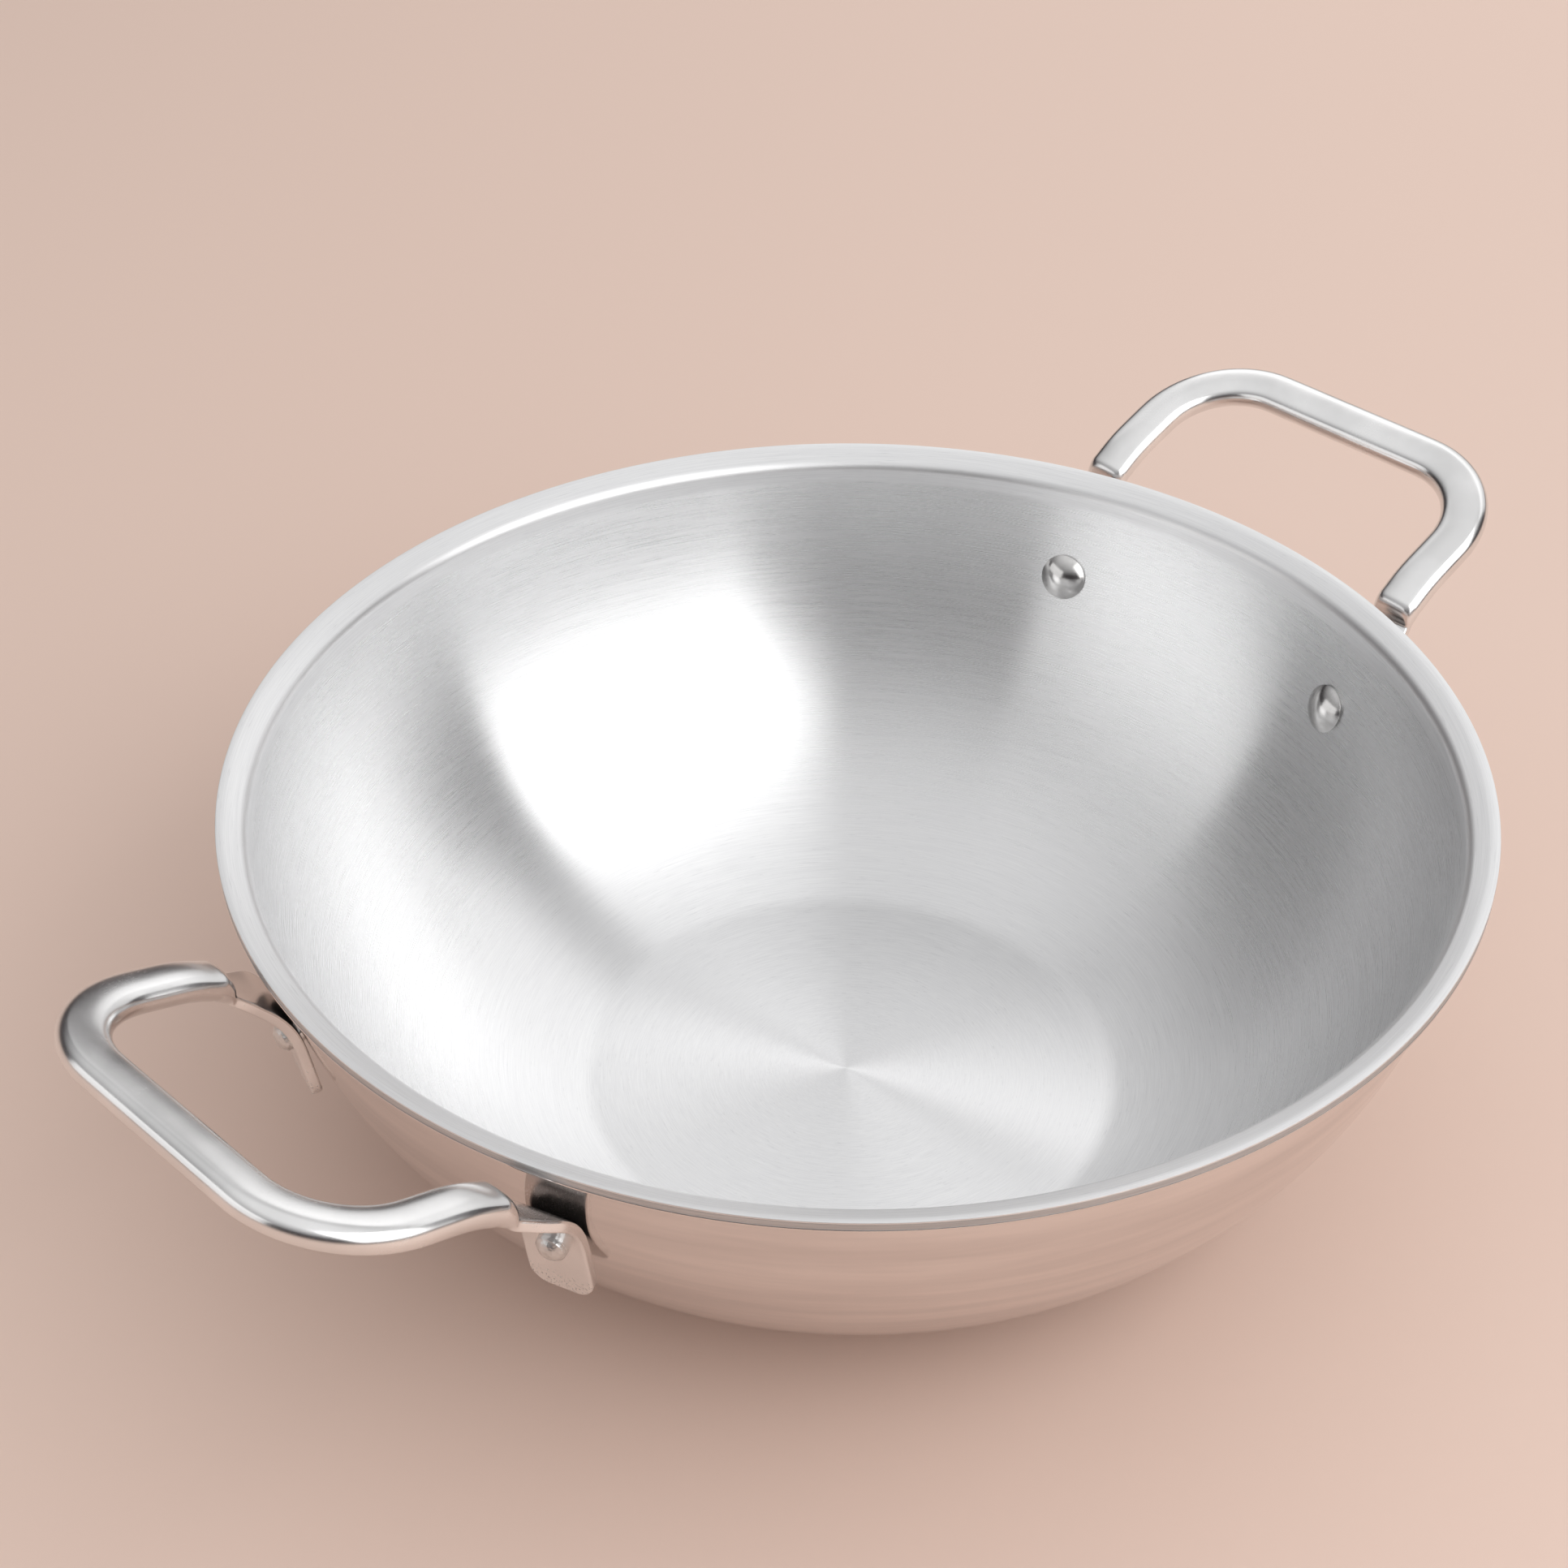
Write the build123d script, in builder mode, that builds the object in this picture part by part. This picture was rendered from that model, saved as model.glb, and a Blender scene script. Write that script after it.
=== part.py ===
from build123d import *

import os
from math import asin, atan2, cos, degrees, radians, sin, sqrt, tan

# A three-ply kadai: a flat-based bowl of bonded sheet with a flared pouring lip, and two solid loop
# handles riveted to it. Millimetres, Z up, origin at the centre of the base on the floor.
# The handles lie along X. A depth is measured into the sheet from the inner, cooking surface.

# Pan, inner surface unless said otherwise
pan_height = 86.4  # floor to the lip's upper edge
rim_radius = 130.0  # centre line to the cut edge of the lip
base_flat_radius = 56.0
base_corner_radius = 15.0
wall_radius = 93.0  # the bowl's arc, from the base corner to the lip
lip_bend_radius = 2.7
lip_run = 4.6  # flat part of the lip, seen from above
lip_angle = 20.0  # rise of the lip, degrees

# Sheet, three bonded plies
inner_skin = 0.45
core_sheet = 1.3
outer_skin = 0.45

# Rivets
rivet_drop = 24.5  # lip's upper edge down to the rivet, on the outer surface
rivet_azimuth = 18.7  # each side of the handle's middle, degrees
rivet_shank_radius = 2.5
rivet_hole_clearance = 0.05
rivet_head_radius = 5.35
rivet_head_height = 2.3
rivet_head_edge = 0.5  # straight side of the head below its dome
rivet_tail_radius = 3.1
rivet_tail_height = 2.6
rivet_tail_edge = 1.3

# Handle bar
grip_reach = 168.1  # centre line of the pan to the grip's centre line
grip_rise = 10.4  # grip's centre line above the lip's upper edge
leg_spacing = 82.8  # between the two legs' centre lines
handle_corner_radius = 20.5
handle_slope = 18.5  # rise of the loop away from the pan, degrees
leg_length = 35.0  # grip's centre line to the root bend's corner, along the slope
root_length = 8.0  # root bend's corner to the bar's end
root_bend_radius = 34.0
root_bend_turn = 23.5  # degrees
bar_width = 10.4
bar_thickness = 6.5
bar_edge_radius = 2.7
bar_end_rounding = 2.2

# Ears, the flattened ends that are riveted to the wall
ear_width = 13.6
ear_thickness = 2.3
ear_lean = 10.0  # from upright, degrees
ear_below_rivet = 14.0
ear_above_rivet = 3.6  # rivet to the start of the bend
ear_bend_radius = 10.0
ear_corner_radius = 4.2
ear_edge_radius = 0.6  # along the outer face only
neck_width = 9.2  # where the ear's strip runs into the bar's end
neck_drop = 1.5  # the strip's middle below the bar's, across the bar
neck_buried = 3.0  # past the bar's end, inside the bar

wall = inner_skin + core_sheet + outer_skin


def arc_chain():
    """Centre of the wall arc, and the turns, in degrees, of base corner, wall and lip bend."""
    rise = radians(lip_angle)
    lip_start = Vector(rim_radius - lip_run, pan_height - lip_run * tan(rise))
    bend_centre = lip_start + Vector(sin(rise), -cos(rise)) * lip_bend_radius
    corner_centre = Vector(base_flat_radius, wall + base_corner_radius)
    # The wall arc runs into the base corner's arc at one end and the lip bend's at the other
    span = bend_centre - corner_centre
    to_corner = wall_radius - base_corner_radius
    to_bend = wall_radius + lip_bend_radius
    along = (to_corner**2 - to_bend**2 + span.length**2) / (2 * span.length)
    across = sqrt(to_corner**2 - along**2)
    unit = span.normalized()
    centre = corner_centre + unit * along + Vector(-unit.Y, unit.X) * across
    foot = corner_centre - centre
    head = bend_centre - centre
    foot_angle = degrees(atan2(foot.X, -foot.Y))
    head_angle = degrees(atan2(head.X, -head.Y))
    return centre, foot_angle, head_angle - foot_angle, head_angle - lip_angle


wall_centre, corner_turn, wall_turn, lip_turn = arc_chain()


def sheet_line(depth):
    """Half section of one surface of the sheet, from the centre line to the cut edge."""
    base = Line((0, wall - depth), (base_flat_radius, wall - depth))
    corner = JernArc(base @ 1, base % 1, base_corner_radius + depth, corner_turn)
    side = JernArc(corner @ 1, corner % 1, wall_radius + depth, wall_turn)
    bend = JernArc(side @ 1, side % 1, lip_bend_radius - depth, -lip_turn)
    run = rim_radius - (bend @ 1).X
    lip = PolarLine(bend @ 1, run, lip_angle, length_mode=LengthMode.HORIZONTAL)
    return base @ 0, lip @ 1


# Where a rivet's axis leaves the outer surface, and how far the wall leans there
rivet_height = pan_height - rivet_drop
rivet_lean = degrees(asin((wall_centre.Y - rivet_height) / (wall_radius + wall)))
rivet_reach = wall_centre.X + (wall_radius + wall) * cos(radians(rivet_lean))

# An ear leans less than that. It touches the wall with the back of its bend, above the rivet, so
# its back stands off the wall at the rivet by ear_gap, and by more below.
ear_tilt = rivet_lean - ear_lean
tilt_slope = tan(radians(ear_tilt))
ear_back_radius = ear_bend_radius + ear_thickness
centre_span = wall_radius + wall + ear_back_radius
centre_shift = ear_back_radius - ear_above_rivet * tilt_slope
square_gap = (1 + tilt_slope**2) * (centre_span**2 - ear_back_radius**2 - ear_above_rivet**2)
ear_distance = (sqrt(centre_shift**2 + square_gap) - centre_shift) / (1 + tilt_slope**2)
ear_gap = ear_distance / cos(radians(ear_tilt)) - wall_radius - wall


def lean_plane(azimuth, lean, gap):
    """Plane across a rivet, a gap off the wall: Z points outward, Y up and X along the wall."""
    turn = radians(azimuth)
    square = Vector(cos(turn) * cos(radians(rivet_lean)), sin(turn) * cos(radians(rivet_lean)))
    square -= Vector(0, 0, sin(radians(rivet_lean)))
    spot = Vector(rivet_reach * cos(turn), rivet_reach * sin(turn), rivet_height) + square * gap
    out = (cos(turn) * cos(radians(lean)), sin(turn) * cos(radians(lean)), -sin(radians(lean)))
    return Plane(origin=spot, x_dir=(-sin(turn), cos(turn), 0), z_dir=out)


rivet_azimuths = {
    "rivet_right_back": rivet_azimuth,
    "rivet_right_front": -rivet_azimuth,
    "rivet_left_back": 180 - rivet_azimuth,
    "rivet_left_front": 180 + rivet_azimuth,
}
rivet_planes = {name: lean_plane(turn, rivet_lean, 0) for name, turn in rivet_azimuths.items()}
ear_planes = {name: lean_plane(turn, ear_lean, ear_gap) for name, turn in rivet_azimuths.items()}
hole_radius = rivet_shank_radius + rivet_hole_clearance
hole_reach = 4 * wall


def make_ply(upper_depth, lower_depth):
    """One ply of the sheet, between two depths, with its four rivet holes."""
    with BuildPart() as ply:
        with BuildSketch(Plane.XZ):
            with BuildLine():
                upper_axis, upper_edge = sheet_line(upper_depth)
                lower_axis, lower_edge = sheet_line(lower_depth)
                Line(upper_axis, lower_axis)
                Line(upper_edge, lower_edge)
            make_face()
        revolve(axis=Axis.Z)
        with Locations(*rivet_planes.values()):
            Cylinder(hole_radius, hole_reach, mode=Mode.SUBTRACT)
    return ply.part


inner_ply = make_ply(0, inner_skin)
core_ply = make_ply(inner_skin, inner_skin + core_sheet)
outer_ply = make_ply(inner_skin + core_sheet, wall)

# Ear, made flat on the origin and then set against the wall: Z points outward, Y up
root_slope = handle_slope + root_bend_turn
ear_bend_turn = 90 - ear_lean - root_slope

with BuildPart() as ear:
    with BuildSketch(Plane.YZ):
        with BuildLine():
            back = Line((-ear_below_rivet, 0), (ear_above_rivet, 0))
            back_bend = JernArc(back @ 1, back % 1, ear_back_radius, ear_bend_turn)
            front = Line((-ear_below_rivet, ear_thickness), (ear_above_rivet, ear_thickness))
            front_bend = JernArc(front @ 1, front % 1, ear_bend_radius, ear_bend_turn)
            Line(back @ 0, front @ 0)
            Line(back_bend @ 1, front_bend @ 1)
        make_face()
    extrude(amount=ear_width / 2, both=True)
    fillet(edges().filter_by(Axis.Z), ear_corner_radius)
    lower_edges = edges().filter_by(Axis.X).group_by(Axis.Y)[0]
    fillet(lower_edges.sort_by(Axis.Z)[-1], ear_edge_radius)
    Cylinder(hole_radius, hole_reach, rotation=(ear_tilt, 0, 0), mode=Mode.SUBTRACT)

# Handle bar, bent round the loop
slope = Vector(cos(radians(handle_slope)), 0, sin(radians(handle_slope)))
root = Vector(cos(radians(root_slope)), 0, sin(radians(root_slope)))
across = Vector(-root.Z, 0, root.X)
corner_point = Vector(grip_reach, leg_spacing / 2, pan_height + grip_rise)
knee_point = corner_point - slope * leg_length
root_point = knee_point - root * root_length
half_loop = [root_point, knee_point, corner_point]
bend_radii = [root_bend_radius, handle_corner_radius, handle_corner_radius, root_bend_radius]


def strip_section(place, width):
    """Cross-section of the ear's strip, its two outer corners rounded."""
    with BuildSketch(place) as section:
        Rectangle(width, ear_thickness)
        fillet(vertices().group_by(Axis.Y)[-1], ear_edge_radius)
    return section.sketch


ear_place = ear_planes["rivet_right_back"]
bend_end = ear.faces().sort_by(Axis.Y)[-1]
strip_start = Plane(bend_end.center(), x_dir=(-1, 0, 0), z_dir=bend_end.normal_at())
neck_point = root_point + root * neck_buried - across * neck_drop
neck_place = Plane(neck_point, x_dir=(0, -1, 0), z_dir=root)

with BuildPart() as ear_back:
    with Locations(ear_place):
        add(ear.part)
    strip_place = Plane(ear_place.location * strip_start.location)
    loft([strip_section(strip_place, ear_width), strip_section(neck_place, neck_width)])

with BuildPart() as handle_right:
    with BuildLine() as loop:
        other_half = [Vector(p.X, -p.Y, p.Z) for p in reversed(half_loop)]
        FilletPolyline(*half_loop, *other_half, radius=bend_radii)
    with BuildSketch(Plane(loop.line @ 0, x_dir=(0, 1, 0), z_dir=loop.line % 0)):
        RectangleRounded(bar_width, bar_thickness, bar_edge_radius)
    sweep(path=loop.line)
    bar_ends = faces().filter_by(GeomType.PLANE).sort_by(Axis.X)[:2]
    fillet(bar_ends.edges(), bar_end_rounding)
    add(ear_back.part)
    mirror(ear_back.part, about=Plane.XZ)

with BuildPart() as handle_left:
    mirror(handle_right.part, about=Plane.YZ)


def side_view(place):
    """Plane seen from the side of a rivet or ear plane: X points outward."""
    return Plane(place.origin, x_dir=place.z_dir, z_dir=place.x_dir)


def make_rivet(wall_place, ear_place):
    """Rivet with its head and shank square to the wall, and its peened tail square to the ear."""
    # The flat underside of the head stands on its rim, because the wall is hollow under it
    seat = -wall - rivet_head_radius**2 / (2 * wall_radius)
    shoulder = (seat - rivet_head_edge, rivet_head_radius)
    crown = (seat - rivet_head_height, 0)
    head_rise = rivet_head_height - rivet_head_edge
    head_dome = (rivet_head_radius**2 + head_rise**2) / (2 * head_rise)
    shank_end = ear_gap + ear_thickness + rivet_tail_edge / 2

    tail_shoulder = (ear_thickness + rivet_tail_edge, rivet_tail_radius)
    tail_end = (ear_thickness + rivet_tail_height, 0)
    tail_rise = rivet_tail_height - rivet_tail_edge
    tail_dome = (rivet_tail_radius**2 + tail_rise**2) / (2 * tail_rise)

    with BuildPart() as rivet:
        with BuildSketch(side_view(wall_place)):
            with BuildLine():
                RadiusArc(crown, shoulder, head_dome)
                Polyline(
                    shoulder,
                    (seat, rivet_head_radius),
                    (seat, rivet_shank_radius),
                    (shank_end, rivet_shank_radius),
                    (shank_end, 0),
                    crown,
                )
            make_face()
        revolve(axis=Axis(wall_place.origin, wall_place.z_dir))
        with BuildSketch(side_view(ear_place)):
            with BuildLine():
                RadiusArc(tail_shoulder, tail_end, tail_dome)
                Polyline(
                    tail_end,
                    (ear_thickness, 0),
                    (ear_thickness, rivet_tail_radius),
                    tail_shoulder,
                )
            make_face()
        revolve(axis=Axis(ear_place.origin, ear_place.z_dir))
    return rivet.part


parts = {
    "inner_ply": inner_ply,
    "core_ply": core_ply,
    "outer_ply": outer_ply,
    "handle_left": handle_left.part,
    "handle_right": handle_right.part,
}
for name in rivet_azimuths:
    parts[name] = make_rivet(rivet_planes[name], ear_planes[name])

os.makedirs("parts", exist_ok=True)
for name, part in parts.items():
    part.label = name
    export_step(part, f"parts/{name}.step")
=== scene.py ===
from math import asin, atan2, cos, pi, radians, sin, sqrt, tan

import bmesh
import bpy
from mathutils import Matrix, Vector


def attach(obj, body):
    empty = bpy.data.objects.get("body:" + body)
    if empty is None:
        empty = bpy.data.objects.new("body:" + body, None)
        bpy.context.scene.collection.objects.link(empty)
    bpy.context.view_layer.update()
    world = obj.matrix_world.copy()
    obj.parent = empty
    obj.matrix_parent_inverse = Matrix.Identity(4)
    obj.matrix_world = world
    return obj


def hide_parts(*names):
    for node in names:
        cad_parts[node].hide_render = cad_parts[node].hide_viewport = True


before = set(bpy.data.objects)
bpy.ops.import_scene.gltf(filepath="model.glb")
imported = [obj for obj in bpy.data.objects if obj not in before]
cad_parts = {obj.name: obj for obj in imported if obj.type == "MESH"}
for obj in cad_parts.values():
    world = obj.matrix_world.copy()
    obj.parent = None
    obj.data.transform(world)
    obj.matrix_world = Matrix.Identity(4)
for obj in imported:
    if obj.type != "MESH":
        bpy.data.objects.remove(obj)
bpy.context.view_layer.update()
mm = 0.001
seamGap = 0.002 * mm
print("kadai: frame loaded")


def startPiece(name):
    # a unit plane, the only thing selected
    bpy.ops.object.select_all(action="DESELECT")
    bpy.ops.mesh.primitive_plane_add(size=1)
    piece = bpy.context.active_object
    piece.name = piece.data.name = name
    return piece


def pickOnly(*pieces):
    bpy.ops.object.select_all(action="DESELECT")
    for piece in pieces:
        piece.select_set(True)
    bpy.context.view_layer.objects.active = pieces[0]


def applyPlace(piece, place):
    piece.matrix_world = place
    pickOnly(piece)
    bpy.ops.object.transform_apply(location=True, rotation=True, scale=True)


def copyPiece(source, name, place):
    # the copy has its own mesh
    piece = source.copy()
    piece.data = source.data.copy()
    piece.name = piece.data.name = name
    bpy.context.collection.objects.link(piece)
    applyPlace(piece, place)
    return piece


def closeUp(piece, smoothAngle):
    # merge seams and poles, turn the faces outwards, shade smooth up to the angle
    pickOnly(piece)
    bpy.ops.object.mode_set(mode="EDIT")
    bpy.ops.mesh.select_all(action="SELECT")
    bpy.ops.mesh.remove_doubles(threshold=seamGap)
    bpy.ops.mesh.normals_make_consistent(inside=False)
    bpy.ops.object.mode_set(mode="OBJECT")
    bpy.ops.object.shade_smooth_by_angle(angle=radians(smoothAngle))


def arcPoints(centre, radius, start, end, count):
    # start and end are angles from straight down, towards the outside
    step = (end - start) / count
    turns = [start + step * i for i in range(count + 1)]
    return [(centre[0] + radius * sin(t), centre[1] - radius * cos(t)) for t in turns]


def latheShape(name, points, steps, smoothAngle=30):
    # points are (radius, height), from the axis round to the axis again
    piece = startPiece(name)
    bpy.ops.object.mode_set(mode="EDIT")
    bpy.ops.mesh.merge(type="CENTER")
    bpy.ops.transform.translate(value=(points[0][0], 0, points[0][1]))
    for before, after in zip(points, points[1:]):
        step = (after[0] - before[0], 0, after[1] - before[1])
        bpy.ops.mesh.extrude_region_move(TRANSFORM_OT_translate={"value": step})
    bpy.ops.mesh.select_all(action="SELECT")
    bpy.ops.mesh.spin(steps=steps, angle=2 * pi, center=(0, 0, 0), axis=(0, 0, 1))
    bpy.ops.object.mode_set(mode="OBJECT")
    closeUp(piece, smoothAngle)
    return piece


# the pan: three plies, each turned from its own half section
pan = {
    "height": 86.4 * mm,
    "rimRadius": 130 * mm,
    "baseFlat": 56 * mm,
    "baseRings": (8 * mm, 30 * mm),
    "baseCorner": 15 * mm,
    "wallRadius": 93 * mm,
    "lipBend": 2.7 * mm,
    "lipRun": 4.6 * mm,
    "lipAngle": 20,
    "sheet": 2.2 * mm,
    "skin": 0.45 * mm,
    "skinRounding": 0.16 * mm,
    "coreRounding": 0.05 * mm,
    "coreSetBack": 0.12 * mm,
    "cornerSteps": 8,
    "wallSteps": 48,
    "bendSteps": 10,
    "turnSteps": 256,
}


def wallArc():
    # the base corner's circle touches the wall's from inside, the lip bend's from outside
    rise = radians(pan["lipAngle"])
    lipStart = Vector((pan["rimRadius"] - pan["lipRun"], pan["height"] - pan["lipRun"] * tan(rise)))
    bendCentre = lipStart + Vector((sin(rise), -cos(rise))) * pan["lipBend"]
    cornerCentre = Vector((pan["baseFlat"], pan["sheet"] + pan["baseCorner"]))
    span = bendCentre - cornerCentre
    toCorner = pan["wallRadius"] - pan["baseCorner"]
    toBend = pan["wallRadius"] + pan["lipBend"]
    along = (toCorner**2 - toBend**2 + span.length**2) / (2 * span.length)
    across = sqrt(toCorner**2 - along**2)
    unit = span.normalized()
    centre = cornerCentre + unit * along + Vector((-unit.y, unit.x)) * across
    foot = cornerCentre - centre
    head = bendCentre - centre
    return centre, bendCentre, atan2(foot.x, -foot.y), atan2(head.x, -head.y)


wallCentre, lipCentre, footAngle, headAngle = wallArc()


def sheetLine(depth, setBack):
    # one surface of the sheet, from the axis out to the cut edge
    floorHeight = pan["sheet"] - depth
    points = [(radius, floorHeight) for radius in (0, *pan["baseRings"])]
    corner = (pan["baseFlat"], pan["sheet"] + pan["baseCorner"])
    points += arcPoints(corner, pan["baseCorner"] + depth, 0, footAngle, pan["cornerSteps"])
    wallRadius = pan["wallRadius"] + depth
    points += arcPoints(wallCentre, wallRadius, footAngle, headAngle, pan["wallSteps"])[1:]
    rise = radians(pan["lipAngle"])
    bendRadius = pan["lipBend"] - depth
    points += arcPoints(lipCentre, bendRadius, headAngle + pi, rise + pi, pan["bendSteps"])[1:]
    lastX, lastZ = points[-1]
    lipRun = pan["rimRadius"] - setBack - lastX
    for share in (0.5, 1):
        points.append((lastX + lipRun * share, lastZ + lipRun * share * tan(rise)))
    return points


def makePly(name, upper, lower, setBack, rounding):
    # upper and lower are depths below the sheet's inner face
    top = sheetLine(upper, setBack)
    under = sheetLine(lower, setBack)
    topX, topZ = top.pop()
    underX, underZ = under.pop()
    rise = tan(radians(pan["lipAngle"]))
    # middle points of the two rounded corners; the upper one lies lower, as the lip rises
    inset, topDrop = 0.3 * rounding, 0.45 * rounding
    edge = [
        (topX - rounding, topZ - rounding * rise),
        (topX - inset, topZ - topDrop),
        (topX, topZ - rounding),
        (underX, underZ + rounding),
        (underX - inset, underZ + inset),
        (underX - rounding, underZ - rounding * rise),
    ]
    return latheShape(name, top + edge + under[::-1], pan["turnSteps"])


skin, sheet = pan["skin"], pan["sheet"]
innerSkin = makePly("innerSkin", 0, skin, 0, pan["skinRounding"])
coreSheet = makePly("coreSheet", skin, sheet - skin, pan["coreSetBack"], pan["coreRounding"])
outerSkin = makePly("outerSkin", sheet - skin, sheet, 0, pan["skinRounding"])
for piece, node, slot in (
    (innerSkin, "inner_ply", "inner_skin"),
    (coreSheet, "core_ply", "core_sheet"),
    (outerSkin, "outer_ply", "outer_skin"),
):
    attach(piece, "root")
    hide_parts(node)
print("kadai: plies turned")


# ears: the handles' flattened ends, which the rivets hold to the wall
ear = {
    "lean": 10,
    "gap": 0.48 * mm,
    "thickness": 2.3 * mm,
    "width": 13.6 * mm,
    "below": 14 * mm,
    "above": 0.6 * mm,
    "flatRows": (-6 * mm, -3 * mm),
    "bend": 20 * mm,
    "corner": 4.2 * mm,
    "rounding": 0.55 * mm,
    "tipWiden": 1.2 * mm,
}

# rivets: one is turned and leaned to the wall, then copied round
# the sides and feet are small steps from a rim or a seat, as (out, up) in mm
rivet = {
    "drop": 24.5 * mm,
    "azimuth": 18.7,
    "shankRadius": 2.5 * mm,
    "shankSpare": 2 * mm,
    "headRadius": 5.35 * mm,
    "headHeight": 2.3 * mm,
    "headEdge": 0.5 * mm,
    "headShoulder": 0.12 * mm,
    "headSide": ((-0.03, -0.06), (0, -0.18)),
    "headFoot": ((0, 0.12), (-0.1, 0)),
    "tailRadius": 3.1 * mm,
    "tailHeight": 2.6 * mm,
    "tailEdge": 1.3 * mm,
    "tailShoulder": 0.35 * mm,
    "tailSide": ((-0.1, -0.2), (0, -0.55)),
    "tailFoot": ((-0.05, 0.2), (0.1, -0.1)),
    "flatShare": 0.8,
    "flatSlope": 0.25,
    "headSteps": (16, 64),
    "tailSteps": (10, 48),
}
rivetHeight = pan["height"] - rivet["drop"]
rivetLean = asin((wallCentre.y - rivetHeight) / (pan["wallRadius"] + pan["sheet"]))
rivetReach = wallCentre.x + (pan["wallRadius"] + pan["sheet"]) * cos(rivetLean)


def leanPlace(lean, gap):
    # place across a rivet at azimuth 0: z points outwards, y up
    square = Vector((cos(rivetLean), 0, -sin(rivetLean)))
    spot = Vector((rivetReach, 0, rivetHeight)) + square * gap
    out = Vector((cos(lean), 0, -sin(lean)))
    side = Vector((0, 1, 0))
    place = Matrix((side, out.cross(side), out)).transposed().to_4x4()
    return Matrix.Translation(spot) @ place


def domePoints(radius, start, height, count):
    # from the axis down to the shoulder, for a dome that rises from start by height
    ball = (radius**2 + height**2) / (2 * height)
    reach = asin(radius / ball)
    return [
        (ball * sin(reach * i / count), start + height - ball * (1 - cos(reach * i / count)))
        for i in range(count + 1)
    ]


def stepsFrom(radius, height, steps):
    return [(radius + out * mm, height + up * mm) for out, up in steps]


def makeRivetHead():
    # with its shank, which ends out of sight in the ear
    seat = pan["sheet"] + rivet["headRadius"] ** 2 / (2 * pan["wallRadius"])
    domeRadius = rivet["headRadius"] - rivet["headShoulder"]
    domeRise = rivet["headHeight"] - rivet["headEdge"]
    domeSteps, turnSteps = rivet["headSteps"]
    shankEnd = -seat - rivet["shankSpare"]
    profile = domePoints(domeRadius, rivet["headEdge"], domeRise, domeSteps)
    profile += stepsFrom(rivet["headRadius"], rivet["headEdge"], rivet["headSide"])
    profile += stepsFrom(rivet["headRadius"], 0, rivet["headFoot"])
    profile += [(rivet["shankRadius"], 0), (rivet["shankRadius"], shankEnd), (0, shankEnd)]
    head = latheShape("rivetHead", profile, turnSteps)
    # the head points into the pan, so it is turned over and set back by its seat
    turnOver = Matrix.Translation((0, 0, -seat)) @ Matrix.Rotation(pi, 4, "X")
    applyPlace(head, leanPlace(rivetLean, 0) @ turnOver)
    return head


def makeRivetTail():
    start = ear["thickness"] + rivet["tailEdge"]
    rise = rivet["tailHeight"] - rivet["tailEdge"]
    crownSteps, turnSteps = rivet["tailSteps"]
    crown = domePoints(rivet["tailRadius"] - rivet["tailShoulder"], start, rise, crownSteps)
    # peened: the crown is flattened and a little hollow in the middle
    flat = start + rise * rivet["flatShare"]
    profile = [(r, min(z, flat + rivet["flatSlope"] * r)) for r, z in crown]
    profile += stepsFrom(rivet["tailRadius"], start, rivet["tailSide"])
    profile += stepsFrom(rivet["tailRadius"], ear["thickness"], rivet["tailFoot"])
    profile.append((0, profile[-1][1]))
    tail = latheShape("rivetTail", profile, turnSteps)
    applyPlace(tail, leanPlace(radians(ear["lean"]), ear["gap"]))
    return tail


masterRivet = makeRivetHead()
pickOnly(masterRivet, makeRivetTail())
bpy.ops.object.join()
rivetTurns = {
    "rivet_right_back": rivet["azimuth"],
    "rivet_right_front": -rivet["azimuth"],
    "rivet_left_back": 180 - rivet["azimuth"],
    "rivet_left_front": 180 + rivet["azimuth"],
}
rivetPieces = []
for node, turn in rivetTurns.items():
    piece = copyPiece(masterRivet, "turned_" + node, Matrix.Rotation(radians(turn), 4, "Z"))
    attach(piece, "root")
    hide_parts(node)
    rivetPieces.append(piece)
bpy.data.objects.remove(masterRivet)
print("kadai: rivets set")


# handles: rounded sections along the ear, the neck and the bar, bridged
handle = {
    "gripReach": 168.1 * mm,
    "gripRise": 10.4 * mm,
    "legSpacing": 82.8 * mm,
    "cornerRadius": 20.5 * mm,
    "slope": 18.5,
    "legLength": 35 * mm,
    "rootLength": 8 * mm,
    "rootBend": 34 * mm,
    "rootTurn": 23.5,
    "barWidth": 10.4 * mm,
    "barThickness": 6.5 * mm,
    "barRounding": 2.3 * mm,
    "barCrown": 0.8 * mm,
    "neckWidth": 9.4 * mm,
    "neckDrop": 1.5 * mm,
    "cornerSteps": 18,
    "smoothAngle": 50,
}
# shares of a section's width, and the segments of its roundings
section = {"crownMiddle": 0.1, "crownSpread": 0.22, "cornerFrom": 0.49, "roundSteps": 5}
# how the bar's end swells up from the neck, over its length
barEnd = {
    "length": 4.6 * mm,
    "steps": 10,
    "tipShare": 0.12,
    "tipPace": 1.2,
    "fullness": 2.2,
    "easing": 0.8,
    "underPace": 1.6,
    "roundingLow": 0.6 * mm,
    "roundingGain": 2.8 * mm,
    "roundingLimit": 2.1,
    "rowGap": 0.2 * mm,
}


def pickSpots(piece, wanted):
    mesh = bmesh.from_edit_mesh(piece.data)
    for vertex in mesh.verts:
        vertex.select_set(wanted(vertex.co))
    mesh.select_flush_mode()
    bmesh.update_edit_mesh(piece.data)


def pickEdges(piece, wanted):
    mesh = bmesh.from_edit_mesh(piece.data)
    for edge in mesh.edges:
        edge.select_set(wanted(*edge.verts))
    bmesh.update_edit_mesh(piece.data)


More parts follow.
